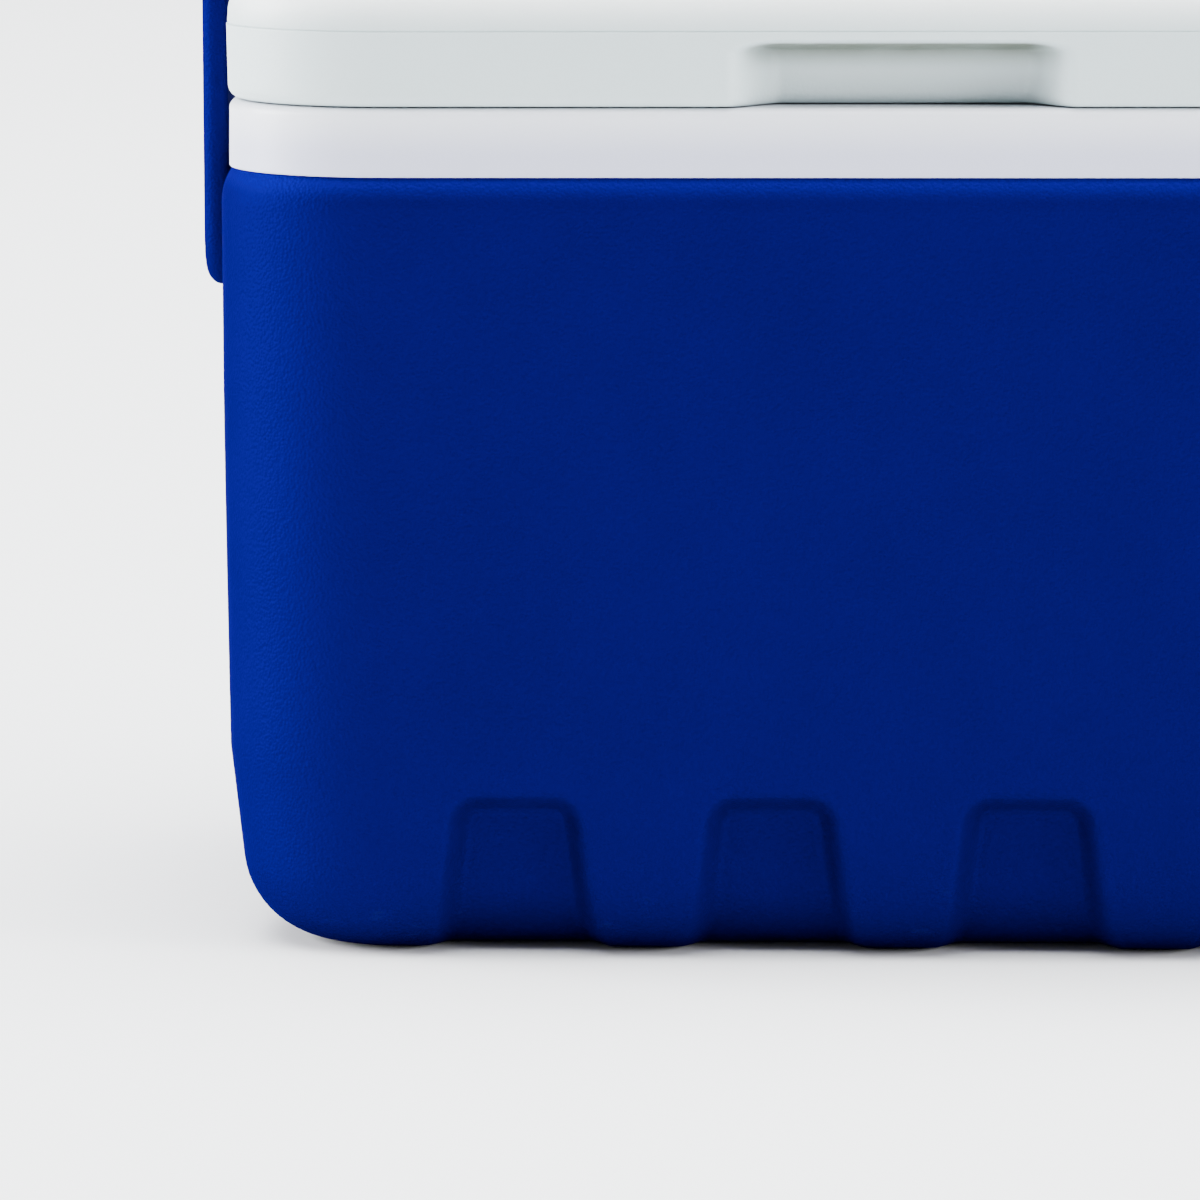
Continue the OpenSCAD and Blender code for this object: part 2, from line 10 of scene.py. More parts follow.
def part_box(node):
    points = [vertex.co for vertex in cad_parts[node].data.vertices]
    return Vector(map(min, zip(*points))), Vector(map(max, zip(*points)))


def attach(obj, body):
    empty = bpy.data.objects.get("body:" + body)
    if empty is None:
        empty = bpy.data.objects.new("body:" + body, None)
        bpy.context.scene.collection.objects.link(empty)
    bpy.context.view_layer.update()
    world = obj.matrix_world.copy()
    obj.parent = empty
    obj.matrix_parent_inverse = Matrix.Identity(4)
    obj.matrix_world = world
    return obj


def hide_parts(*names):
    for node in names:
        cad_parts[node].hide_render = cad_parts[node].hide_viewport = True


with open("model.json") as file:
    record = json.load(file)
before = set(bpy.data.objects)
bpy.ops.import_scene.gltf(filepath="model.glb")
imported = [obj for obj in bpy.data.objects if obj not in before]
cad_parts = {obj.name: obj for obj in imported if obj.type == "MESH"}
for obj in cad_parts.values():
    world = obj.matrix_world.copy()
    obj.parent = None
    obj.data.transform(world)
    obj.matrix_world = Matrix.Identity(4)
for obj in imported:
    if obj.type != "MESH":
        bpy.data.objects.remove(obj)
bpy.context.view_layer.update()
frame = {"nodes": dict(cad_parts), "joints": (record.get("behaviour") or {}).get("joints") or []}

MM = 0.001

# ---- Sizes, in millimetres. Each half size and level is read from the frame. ----


def corner_mm(node):
    """A node's lowest and highest corners, in millimetres."""
    low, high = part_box(node)
    return np.array(low) / MM, np.array(high) / MM


SHELL_LOW, SHELL_HIGH = corner_mm("outer_shell")
LINER_LOW, LINER_HIGH = corner_mm("liner")
LID_LOW, LID_HIGH = corner_mm("lid_cover")
PAN_LOW, PAN_HIGH = corner_mm("lid_pan")
BAIL_LOW, BAIL_HIGH = corner_mm("handle_bail")
FOAM_LOW, FOAM_HIGH = corner_mm("foam_core")

WALL = 2.4
FOAM_GAP = 0.25
PLUG_HOLE_GAP = 0.2
BODY_HALF_W = FOAM_HIGH[0] + WALL + FOAM_GAP
BODY_HALF_D = SHELL_HIGH[1]
BODY_R = 57.0
RIM_Z = SHELL_HIGH[2]
BOSS_FACE = SHELL_HIGH[0]
BOSS_R = 15.0
BUSH_HOLE_R = 8.05

# The body's lower wall tapers in, and its bottom edge and shoulder are round
TAPER_Z = 63.0
TAPER = math.radians(6.4)
TAPER_INSET = 1.2
WIDEST_Z = 180.0
BASE_FILLET = 30.0
SHOULDER_R = 19.0
SHOULDER_H = 10.2
RIM_LIP = 1.3

# Notches round the base
NOTCH_PITCH = 82.0
LONG_NOTCHES = 4
SIDE_NOTCHES = 2
NOTCH_TOP_W = 43.0
NOTCH_BOTTOM_W = 56.6
NOTCH_FLARE = 3.0
NOTCH_FLARE_H = 14.0
NOTCH_H = 55.2
NOTCH_DEPTH = 10.0
NOTCH_R = 10.5
NOTCH_RAMP = 8.8

# Collar and tub
COLLAR_HALF_W, COLLAR_HALF_D = LINER_HIGH[0], LINER_HIGH[1]
COLLAR_R = BODY_R - (BODY_HALF_W - COLLAR_HALF_W)
COLLAR_TOP = LINER_HIGH[2]
COLLAR_EDGE_R = 3.0
COLLAR_DRAFT = 0.2
SKIRT = 5.0
DECK = 3.0
WALL_THICK = 32.5
TUB_HALF_W = BODY_HALF_W - WALL_THICK
TUB_HALF_D = BODY_HALF_D - WALL_THICK
TUB_R = 34.0
TUB_FLOOR = LINER_LOW[2] + WALL
TUB_FILLET = 14.0
TUB_SLOPE = math.tan(math.radians(2))
TUB_LIP_R = 2.5

# Lid and its finger recess
LID_HALF_W, LID_HALF_D = LID_HIGH[0], LID_HIGH[1]
LID_R = BODY_R - (BODY_HALF_W - LID_HALF_W)
LID_BOTTOM, LID_TOP = LID_LOW[2], LID_HIGH[2]
LID_BOTTOM_R = 4.0
LID_PARTING = LID_BOTTOM + 23.6
LID_EDGE_R = 13.0
LID_EDGE_TURN = 80
LID_DRAFT = 0.4
CROWN_H = 3.2
CROWN_INSET = 52.0
RECESS_HALF_FRONT = 55.5
RECESS_HALF_BACK = 38.0
RECESS_DEPTH = 17.0
RECESS_H = 21.5
RECESS_TOP_RAMP = 4.5

# The crease at the lid's parting line: insets, and heights above the line
PARTING_CREASE = ((0, 0), (0.12, 0.18), (0.5, 0.26), (0.62, 0.42), (0.4, 0.62), (0.3, 1.0))

# The lid's pan
PAN_INSET = LID_HALF_W - PAN_HIGH[0]
PAN_BOTTOM = LID_BOTTOM + 0.5
PLUG_GAP = 2.5
PLUG_BOTTOM = PAN_LOW[2]
PLUG_FILLET = 5.0
PLUG_TAPER = 1.5

# Bail handle
PIVOT_Z = next(j for j in frame["joints"] if j["name"] == "handle_swing")["pos_m"][2] / MM
BAIL_T = 8.5
BAIL_HALF_W = BAIL_HIGH[1]
ARM_OUT = BAIL_HIGH[0]
ARM_IN = ARM_OUT - BAIL_T
BAIL_TOP = BAIL_HIGH[2]
BEND_R = 26.0
GRIP_T = 16.0
GRIP_HALF = 60.0
BAIL_EDGE = 5.0
BAIL_END_RUN = 6.5
BAIL_INNER_R = 2.2
HEAD_HOLE_R = 9.2
HEAD_DEPTH = 2.9
BORE_R = 5.55

# Ribs under the grip
RIB_R = 1.5
RIB_L = 14
RIB_PITCH = 7.5
RIB_END = 45
RIB_SINK = 0.6

# Screws: their sizes, and the distance between the two in one leaf
SCREW = {"Head Radius": 3.2, "Head Height": 1.6, "Shank Radius": 1.6, "Length": 11, "Slot": 0.8}
SCREW_PITCH = 30.0

# The floor lies just under the chest and reaches past the view, in millimetres
FLOOR_Z = -0.2
FLOOR_REACH = 40000


# ---- Light ----

# The sky's strength: its base, what it gains overhead, and what it gains at both sides
SKY_BASE = 0.15
SKY_TOP, SKY_TOP_FROM, SKY_TOP_TO = 12.5, 0.68, 0.98
SKY_SIDE, SKY_SIDE_FROM, SKY_SIDE_TO = 0.8, 0.35, 0.95
SKY_COLOUR = (0.96, 0.98, 1.0)

# Two soft boxes aimed at one place in the chest: places and sizes in metres, power in watts
LIT_PLACE = (0, 0, 0.2)
LEFT_PLACE, LEFT_SIZE, LEFT_POWER = (-5.0, 0.5, 1.6), 3.0, 900
RIGHT_PLACE, RIGHT_SIZE, RIGHT_POWER = (4.4, -1.9, 1.5), 1.8, 300

# The camera: lens in mm, turn left, down and round in degrees, and place in metres
LENS = 241.5
CAMERA_TURN = (-2.735, 7.771, -0.208)
CAMERA_PLACE = (0.0255, -2.6824, 0.4636)


# ---- Wear, and painted light ----

# Height up to which the mouldings are scuffed, in millimetres
SCUFF_H = 40.0

# Colours painted on a moulding in one place: a painted highlight along the body's rim and toward
# the lid's and collar's tops, and painted shade in the lid's recess
RIM_HIGHLIGHT_TONE = (0.003, 0.0003, 0.108)
LID_TOP_HIGHLIGHT_TONE = (0.76, 0.80, 0.80)
COLLAR_TOP_HIGHLIGHT_TONE = (0.66, 0.68, 0.74)
RECESS_SHADE_TONE = (0.10, 0.12, 0.09)


# ---- Shader nodes ----


class Value:
    """A shader socket that takes part in Python arithmetic."""

    def __init__(self, finish, socket):
        self.finish, self.socket = finish, socket

    def _math(self, operation, *others):
        values = dict(enumerate((self, *others)))
        node = self.finish.node("ShaderNodeMath", {"operation": operation}, values)
        return Value(self.finish, node.outputs[0])

    def _reflected(self, operation, other):
        node = self.finish.node("ShaderNodeMath", {"operation": operation}, {0: other, 1: self})
        return Value(self.finish, node.outputs[0])

    def __add__(self, other):
        return self._math("ADD", other)

    def __sub__(self, other):
        return self._math("SUBTRACT", other)

    def __mul__(self, other):
        return self._math("MULTIPLY", other)

    def __rsub__(self, other):
        return self._reflected("SUBTRACT", other)

    __radd__ = __add__
    __rmul__ = __mul__

    def size(self):
        """Its distance from zero."""
        return self._math("ABSOLUTE")

    def between(self, low, high):
        """0 below low, 1 above high, and smooth between them."""
        node = self.finish.node(
            "ShaderNodeMapRange",
            {"interpolation_type": "SMOOTHSTEP"},
            {"Value": self, "From Min": low, "From Max": high},
        )
        return Value(self.finish, node.outputs[0])


class Finish:
    """One surface finish: a Principled material and the nodes that feed it."""

    def __init__(self, name, **fixed):
        self.material = bpy.data.materials.new(name)
        self.material.use_nodes = True
        self.tree = self.material.node_tree
        self.tree.nodes.clear()
        self.shader = self.node("ShaderNodeBsdfPrincipled", {}, fixed)
        self.node("ShaderNodeOutputMaterial", {}, {"Surface": self.shader.outputs[0]})
        self.place = self.node("ShaderNodeTexCoord").outputs["Object"]

    def node(self, kind, settings=None, values=None):
        made = self.tree.nodes.new(kind)
        for key, value in (settings or {}).items():
            setattr(made, key, value)
        for key, value in (values or {}).items():
            socket = made.inputs[key]
            if isinstance(value, Value):
                value = value.socket
            if isinstance(value, bpy.types.NodeSocket):
                self.tree.links.new(value, socket)
            else:
                socket.default_value = value
        return made

    def noise(self, scale, detail=2.0, stretch=(1, 1, 1), seed=0.0):
        """Noise over the piece's own coordinates, with scale in cycles a metre."""
        place = self.node(
            "ShaderNodeMapping",
            {},
            {"Vector": self.place, "Scale": stretch, "Location": (seed, 0.37 * seed, 0.71 * seed)},
        )
        made = self.node(
            "ShaderNodeTexNoise",
            {},
            {"Vector": place.outputs[0], "Scale": scale, "Detail": detail},
        )
        return Value(self, made.outputs[0])

    def cells(self, scale, seed=0.0):
        """Distance to the nearest of scattered points, with scale in points a metre."""
        place = self.node(
            "ShaderNodeMapping", {}, {"Vector": self.place, "Location": (seed, seed, seed)}
        )
        made = self.node(
            "ShaderNodeTexVoronoi",
            {"feature": "F1"},
            {"Vector": place.outputs[0], "Scale": scale},
        )
        return Value(self, made.outputs["Distance"])

    def axis(self, which):
        split = self.node("ShaderNodeSeparateXYZ", {}, {0: self.place})
        return Value(self, split.outputs[which])

    def mix(self, factor, first, second):
        """A colour between two colours."""
        made = self.node("ShaderNodeMix", {"data_type": "RGBA"}, {"Factor": factor})
        for socket, value in ((made.inputs[6], first), (made.inputs[7], second)):
            if isinstance(value, bpy.types.NodeSocket):
                self.tree.links.new(value, socket)
            else:
                socket.default_value = (*value, 1)
        return made.outputs[2]

    def bump(self, height, distance):
        made = self.node("ShaderNodeBump", {}, {"Height": height, "Distance": distance})
        self.tree.links.new(made.outputs[0], self.shader.inputs["Normal"])

    def feed(self, socket, value):
        if isinstance(value, Value):
            value = value.socket
        self.tree.links.new(value, self.shader.inputs[socket])


def moulded_plastic(name, colour, deep, grain_mm, grain_depth, rough, wear, painted_light=None, **fixed):
    """Injection-moulded plastic: a pebbled skin, soft flow marks, scuffs low down, and painted
    light from an optional function.
    """
    finish = Finish(name, **fixed)
    flow = finish.noise(7, 3, (1, 1, 0.35), 3.1)
    cloud = finish.noise(34, 4, (1, 1, 1), 8.3)
    pebble = finish.cells(1000 / grain_mm, 1.7)
    fine = finish.noise(2600 / grain_mm, 2, (1, 1, 1), 5.9)
    scratch = finish.noise(420, 3, (0.25, 0.25, 1), 2.2).between(0.6, 0.72)
    low = 1 - finish.axis(2).between(0.004, SCUFF_H * MM)
    scuff = scratch * low * finish.noise(60, 3, (1, 1, 1), 11.4).between(0.4, 0.6)
    tone = (flow * 0.6 + cloud * 0.4).between(0.3, 0.72)
    base = finish.mix(tone, deep, colour)
    # The optional function paints light into the colour: painted highlight and painted shade
    if painted_light:
        base = painted_light(finish, base)
    worn = tuple(c + (1 - c) * wear for c in colour)
    finish.feed("Base Color", finish.mix(scuff, base, worn))
    finish.feed("Roughness", rough + (cloud - 0.5) * 0.14 + scuff * 0.1)
    finish.bump((1 - pebble) * 0.8 + fine * 0.3 + flow * 2.0, grain_depth * MM)
    return finish.material


def blue_rim_highlight(finish, base):
    """Painted highlight: brighter blue along the body's rounded rim, but not on the handle outside
    it.
    """
    x, z = finish.axis(0), finish.axis(2)
    # A painted highlight band just under the rim, standing for light on the rounded shoulder
    rim = z.between((RIM_Z - 8) * MM, (RIM_Z - 0.5) * MM)
    rim *= 1 - z.between(RIM_Z * MM, (RIM_Z + 2) * MM)
    on_body = 1 - x.size().between((BODY_HALF_W + 1.5) * MM, (BODY_HALF_W + 3) * MM)
    return finish.mix(rim * on_body, base, RIM_HIGHLIGHT_TONE)


def lid_painted_light(finish, base):
    """Painted highlight whiter toward the lid's top, and painted shade darker under the recess's
    upper edge.
    """
    x, y, z = (finish.axis(which) for which in range(3))
    # Painted highlight: the lid lighter toward its top
    top_highlight = z.between((LID_PARTING - 1) * MM, (LID_TOP - 8) * MM)
    base = finish.mix(top_highlight, base, LID_TOP_HIGHLIGHT_TONE)
    # Painted shade under the recess's overhanging upper edge, mottled a little
    deep = y.between((0.8 - LID_HALF_D) * MM, (7 - LID_HALF_D) * MM) * (1 - y.between(-0.1, 0))
    inside = 1 - x.size().between(RECESS_HALF_BACK * MM, (RECESS_HALF_FRONT + 2) * MM)
    ceiling = LID_BOTTOM + RECESS_H
    shade_band = z.between((ceiling - 11.5) * MM, (ceiling - 2) * MM)
    shade_band *= 1 - z.between((ceiling + 0.5) * MM, (ceiling + 1.5) * MM)
    patchy = 0.8 + finish.noise(45, 3, (1, 1, 1), 14.2) * 0.3
    return finish.mix(deep * inside * shade_band * patchy, base, RECESS_SHADE_TONE)


def collar_painted_highlight(finish, base):
    """Painted highlight: lighter toward the collar's top edge."""
    top_highlight = finish.axis(2).between((RIM_Z + 6) * MM, (COLLAR_TOP - 1) * MM)
    return finish.mix(top_highlight, base, COLLAR_TOP_HIGHLIGHT_TONE)


def turned_steel(name, colour, rough, stretch):
    """Plated steel with fine drawn lines and a little dulling."""
    finish = Finish(name, Metallic=1.0)
    line = finish.noise(2400, 2, stretch, 4.4)
    dull = finish.noise(220, 4, (1, 1, 1), 9.2).between(0.42, 0.7)
    finish.feed("Base Color", finish.mix(dull * 0.6, colour, tuple(c * 0.72 for c in colour)))
    finish.feed("Roughness", rough + dull * 0.2 + (line - 0.5) * 0.16)
    finish.bump(line, 0.02 * MM)
    return finish.material


def rigid_foam(name):
    """Poured foam: rounded open cells and a skin that browns in patches."""
    finish = Finish(name, Metallic=0.0)
    cell = finish.cells(900, 2.0)
    patch = finish.noise(30, 4, (1, 1, 1), 6.0).between(0.35, 0.7)
    finish.feed("Base Color", finish.mix(patch, (0.78, 0.66, 0.36), (0.66, 0.5, 0.22)))
    finish.feed("Roughness", 0.8 + cell * 0.2)
    finish.bump(cell, 0.5 * MM)
    return finish.material


BLUE = moulded_plastic(
    "blue_moulding", (0.0025, 0.0, 0.066), (0.002, 0.0, 0.058),
    grain_mm=1.1, grain_depth=0.28, rough=0.52, wear=0.004, painted_light=blue_rim_highlight,
    **{"Specular IOR Level": 0.0, "Metallic": 0.4, "Specular Tint": (0.0, 0.03, 0.42, 1.0)},
)
LID_WHITE = moulded_plastic(
    "lid_moulding", (0.49, 0.57, 0.585), (0.475, 0.555, 0.57),
    grain_mm=1.3, grain_depth=0.06, rough=0.42, wear=0.2, painted_light=lid_painted_light,
    **{"Specular IOR Level": 0.35},
)
COLLAR_WHITE = moulded_plastic(
    "collar_moulding", (0.485, 0.50, 0.63), (0.47, 0.485, 0.61),
    grain_mm=1.5, grain_depth=0.02, rough=0.34, wear=0.2, painted_light=collar_painted_highlight,
    **{"Specular IOR Level": 0.35},
)
ACETAL = moulded_plastic(
    "acetal_turning", (0.74, 0.73, 0.66), (0.70, 0.69, 0.62),
    grain_mm=0.6, grain_depth=0.01, rough=0.35, wear=0.1,
)
STEEL = turned_steel("plated_steel", (0.62, 0.62, 0.64), 0.24, (0.1, 1, 1))
FOAM = rigid_foam("poured_foam")


# ---- Meshes ----

# Edges sharper than these many degrees stay crisp
SHARP = 32
SHARP_WRAP = 40


def add_piece(name, points, faces, material, sharp=SHARP):
    """An object at the origin, from points in millimetres."""
    mesh = bpy.data.meshes.new(name)
    mesh.from_pydata([tuple(p) for p in np.asarray(points, dtype=float) * MM], [], faces)
    mesh.validate()
    mesh.shade_smooth()
    mesh.set_sharp_from_angle(angle=math.radians(sharp))
    mesh.materials.append(material)
    piece = bpy.data.objects.new(name, mesh)
    bpy.context.scene.collection.objects.link(piece)
    return piece


def settle(piece, sharp=SHARP):
    """Turns a piece's modifiers into its plain mesh."""
    bpy.context.view_layer.update()
    graph = bpy.context.evaluated_depsgraph_get()
    mesh = bpy.data.meshes.new_from_object(piece.evaluated_get(graph), depsgraph=graph)
    piece.modifiers.clear()
    piece.data = mesh
    mesh.shade_smooth()
    mesh.set_sharp_from_angle(angle=math.radians(sharp))


def join(piece, *others):
    """Adds the other objects' meshes to a piece as islands of it."""
    work = bmesh.new()
    for each in (piece, *others):
        work.from_mesh(each.data)
    work.to_mesh(piece.data)
    work.free()
    for each in others:
        bpy.data.objects.remove(each)
    piece.data.shade_smooth()
    piece.data.set_sharp_from_angle(angle=math.radians(SHARP))


def face_outward(piece):
    work = bmesh.new()
    work.from_mesh(piece.data)
    bmesh.ops.remove_doubles(work, verts=work.verts, dist=0.002 * MM)
    bmesh.ops.recalc_face_normals(work, faces=work.faces)
    work.to_mesh(piece.data)
    work.free()


def cut_away(piece, cutters):
    """Cuts closed objects out of a piece."""
    for cutter in cutters:
        change = piece.modifiers.new("cut", "BOOLEAN")
        change.operation, change.object, change.solver = "DIFFERENCE", cutter, "EXACT"
    settle(piece)
    for cutter in cutters:
        bpy.data.objects.remove(cutter)


def arc(middle, radius, start, end, steps):
    """Points [inset, z] on an arc, from straight out of the wall, in degrees."""
    turns = np.radians(np.linspace(start, end, steps + 1))
    return [(middle[0] - radius * math.cos(a), middle[1] + radius * math.sin(a)) for a in turns]


def spread(*stretches):
    """Numbers from (from, to, step) stretches, each stretch starting where the last ended."""
    made = []
    for start, end, step in stretches:
        count = max(1, round(abs(end - start) / step))
        made.extend(np.linspace(start, end, count + 1)[:-1])
    return made + [stretches[-1][1]]


class Plan:
    """Columns round a rounded rectangle, counter-clockwise from above, from the front's left."""

    CORNER_STEPS = 20
    IN_CORNER = 1e4

    def __init__(self, half_w, half_d, radius, long_marks, short_marks):
        long_l, short_l = half_w - radius, half_d - radius
        columns = []
        sides = [
            (0, long_marks, long_l), (1, short_marks, short_l),
            (2, long_marks, long_l), (3, short_marks, short_l),
        ]
        for side, marks, length in sides:
            marks = [u for u in marks if abs(u) < length - 0.5]
            turn = math.radians(90 * side - 90)
            normal = (math.cos(turn), math.sin(turn))
            along = (-normal[1], normal[0])
            for u in [-length, *marks]:
                share = u / length
                columns.append(
                    (along[0] * share + normal[0], along[1] * share + normal[1], *normal, side, u)
                )
            for step in range(self.CORNER_STEPS):
                a = turn + math.pi / 2 * step / self.CORNER_STEPS
                corner = (along[0] + normal[0], along[1] + normal[1])
                if step == 0:
                    columns.append((*corner, *normal, side, length))
                else:
                    columns.append((*corner, math.cos(a), math.sin(a), side, self.IN_CORNER))
        self.table = np.round(np.array(columns), 9)
        self.normal = self.table[:, 2:4]
        self.side, self.along = self.table[:, 4], self.table[:, 5]

    def ring(self, half_w, half_d, radius):
        """The columns' places on another rounded rectangle about the same middle."""
        reach = np.array([half_w - radius, half_d - radius])
        return self.table[:, 0:2] * reach + self.normal * radius


def wrap(name, plan, rows, material, push=None):
    """A closed piece from rows (half width, half depth, corner radius, z, push share).

    The rows run from the middle of the underside, outward, up the outside and over to the
    middle of the top, so that every face points out.
    """
    points = []
    for half_w, half_d, radius, z, share in rows:
        ring = plan.ring(half_w, half_d, radius)
        if push is not None and share:
            ring = ring - plan.normal * (push(plan, z) * share)[:, None]
        points.append(np.column_stack([ring, np.full(len(ring), z)]))
    count = len(points[0])
    faces = [tuple(reversed(range(count)))]
    for row in range(len(rows) - 1):
        low, high = row * count, (row + 1) * count
        for i in range(count):
            j = (i + 1) % count
            faces.append((low + i, low + j, high + j, high + i))
    faces.append(tuple(range((len(rows) - 1) * count, len(rows) * count)))
    return add_piece(name, np.vstack(points), faces, material, SHARP_WRAP)


def ramp(t):
    """0 to 1, with both ends eased."""
    t = np.clip(t, 0, 1)
    return t * t * (3 - 2 * t)


def revolved(name, profile, material, steps=64):
    """A closed solid turned about X from (x, radius) pairs, in millimetres about the pivot."""
    turns = np.linspace(0, 2 * math.pi, steps, endpoint=False)
    points = [(x, r * math.cos(a), r * math.sin(a)) for x, r in profile for a in turns]
    faces = []
    loops = len(profile)
    for k in range(loops):
        for i in range(steps):
            j = (i + 1) % steps
            nxt = (k + 1) % loops
            faces.append((k * steps + i, k * steps + j, nxt * steps + j, nxt * steps + i))
    piece = add_piece(name, points, faces, material)
    face_outward(piece)
    return piece


def rod(x0, x1, radius, at, axis="X", steps=96):
    """A plain closed cylinder to cut with, between two places along an axis."""
    turns = np.linspace(0, 2 * math.pi, steps, endpoint=False)
    points = []
    for x in (x0, x1):
        for a in turns:
            p = (x, radius * math.cos(a), radius * math.sin(a))
            if axis == "Z":
                p = (p[1], p[2], p[0])
            points.append((p[0] + at[0], p[1] + at[1], p[2] + at[2]))
    faces = [(i, (i + 1) % steps, steps + (i + 1) % steps, steps + i) for i in range(steps)]
    faces += [tuple(range(steps)), tuple(range(steps, 2 * steps))]
    piece = add_piece("cutter", points, faces, BLUE)
    face_outward(piece)
    return piece


# ---- Outer shell ----


def notch_push(plan, z):
    """How far the wall is pushed in at the notches, at one height."""
    pushed = np.zeros(len(plan.along))
    if z > NOTCH_H:
        return pushed
    half = NOTCH_BOTTOM_W / 2 + (NOTCH_TOP_W - NOTCH_BOTTOM_W) / 2 * z / NOTCH_H
    half += NOTCH_FLARE * max(1 - z / NOTCH_FLARE_H, 0) ** 2
    for sides, count in (((0, 2), LONG_NOTCHES), ((1, 3), SIDE_NOTCHES)):
        chosen = np.isin(plan.side, sides) & (plan.along < plan.IN_CORNER)
        for k in range(count):
            middle = (k - (count - 1) / 2) * NOTCH_PITCH
            across = np.abs(plan.along - middle) - (half - NOTCH_R)
            up = z - (NOTCH_H - NOTCH_R)
            outside = np.hypot(np.maximum(across, 0), max(up, 0))
            inside = NOTCH_R - outside - np.minimum(np.maximum(across, up), 0)
            depth = NOTCH_DEPTH * ramp(inside / NOTCH_RAMP)
            pushed = np.where(chosen, np.maximum(pushed, depth), pushed)
    return pushed


def notch_marks(count):
    """Where the columns stand along a wall: close together across each notch's sides."""
    half, far, near = NOTCH_PITCH / 2, 34, 10
    one = spread(
        (-half, -far, 3.5), (-far, -near, 1.0), (-near, near, 5), (near, far, 1.0), (far, half, 3.5)
    )
    marks = []
    for k in range(count):
        middle = (k - (count - 1) / 2) * NOTCH_PITCH
        marks += [middle + u for u in one[:-1]]
    end = count * half
    return sorted({round(u, 4) for u in marks + [-end - 6, end, end + 6]})


def body_rows():
    def at(inset, z, share=1.0):
        return (BODY_HALF_W - inset, BODY_HALF_D - inset, max(BODY_R - inset, 4), z, share)

    arc_top = BASE_FILLET * (1 - math.sin(TAPER))
    middle = (
        TAPER_INSET + (TAPER_Z - arc_top) * math.tan(TAPER) + BASE_FILLET * math.cos(TAPER),
        BASE_FILLET,
    )
    shoulder = (SHOULDER_R, RIM_Z - SHOULDER_H - RIM_LIP)
    shoulder_turn = math.degrees(math.asin(SHOULDER_H / SHOULDER_R))
    # The flat underside, where the notches fade out towards the middle
    rows = [(90, 50, 20, 0, 0), at(58, 0, 0), at(48, 0, 0.5), at(40, 0, 0.9)]
    rows += [at(*p) for p in arc(middle, BASE_FILLET, -90, -math.degrees(TAPER), 14)]
    # Rows stand close together at the notches' tops
    for z in spread((arc_top, 42, 3), (42, 54, 0.85), (54, TAPER_Z, 2))[1:]:
        rows.append(at(TAPER_INSET + (TAPER_Z - z) * math.tan(TAPER), z))
    for z in spread((TAPER_Z, WIDEST_Z, 15))[1:]:
        rows.append(at(TAPER_INSET * ((WIDEST_Z - z) / (WIDEST_Z - TAPER_Z)) ** 1.3, z))
    rows += [at(0, z) for z in spread((WIDEST_Z, shoulder[1], 14))[1:-1]]
    rows += [at(*p) for p in arc(shoulder, SHOULDER_R, 0, shoulder_turn, 12)]
    rim = SHOULDER_R * (1 - math.cos(math.radians(shoulder_turn))) + 0.8
    rows += [at(rim - 0.3, RIM_Z - 0.5), at(rim, RIM_Z), at(rim + WALL, RIM_Z)]
    # The inside of the wall, down to the floor's middle
    rows += [at(WALL + 2, shoulder[1] + 4), at(WALL, WIDEST_Z), at(WALL + TAPER_INSET, TAPER_Z)]
    rows += [at(WALL + TAPER_INSET, z) for z in (56, 50, 46)]
    rows += [at(12, 20), at(28, WALL + 2), at(50, WALL, 0), (90, 50, 16, WALL, 0)]
    return rows


def boss(side):
    """The round seat of a pivot, flared into the wall and open in the middle."""
    root = BODY_HALF_W - 0.6
    flare_l, flare_r, lip_r = 2.2, 1.9, 0.8
    flare = [(root + flare_l * (1 - math.cos(a)), BOSS_R + flare_r * (1 - math.sin(a)))
             for a in np.linspace(0.15, math.pi / 2, 8)]
    lip = [(BOSS_FACE - lip_r * (1 - math.sin(a)), BOSS_R - lip_r * (1 - math.cos(a)))
           for a in np.linspace(0, math.pi / 2, 5)]
    inner = BODY_HALF_W - WALL
    profile = [
        (inner, BUSH_HOLE_R), (inner, BOSS_R + 1.7), *flare, *lip, (BOSS_FACE, BUSH_HOLE_R)
    ]
    points = [(side * x, r) for x, r in profile]
    piece = revolved("boss", points, BLUE)
    for corner in piece.data.vertices:
        corner.co.z += PIVOT_Z * MM
    return piece


def make_outer_shell():
    marks = notch_marks(LONG_NOTCHES), notch_marks(SIDE_NOTCHES)
    plan = Plan(BODY_HALF_W, BODY_HALF_D, BODY_R, *marks)
    shell = wrap("body_moulding", plan, body_rows(), BLUE, notch_push)
    cutters = []
    for node, places in (("foam_fill_plug", 1), ("foam_vent_plugs", 2)):
        low, high = corner_mm(node)
        radius = (high[1] - low[1]) / 2
        for k in range(places):
            x = (low[0] + high[0]) / 2 if places == 1 else (low[0] + radius, high[0] - radius)[k]
            at = (x, (low[1] + high[1]) / 2, 0)
            cutters.append(rod(-2, WALL + 4, radius + PLUG_HOLE_GAP, at, "Z"))
    cut_away(shell, cutters)
    join(shell, boss(-1), boss(1))
    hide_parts("outer_shell")
    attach(shell, "chest")


# ---- Liner: tub and collar ----


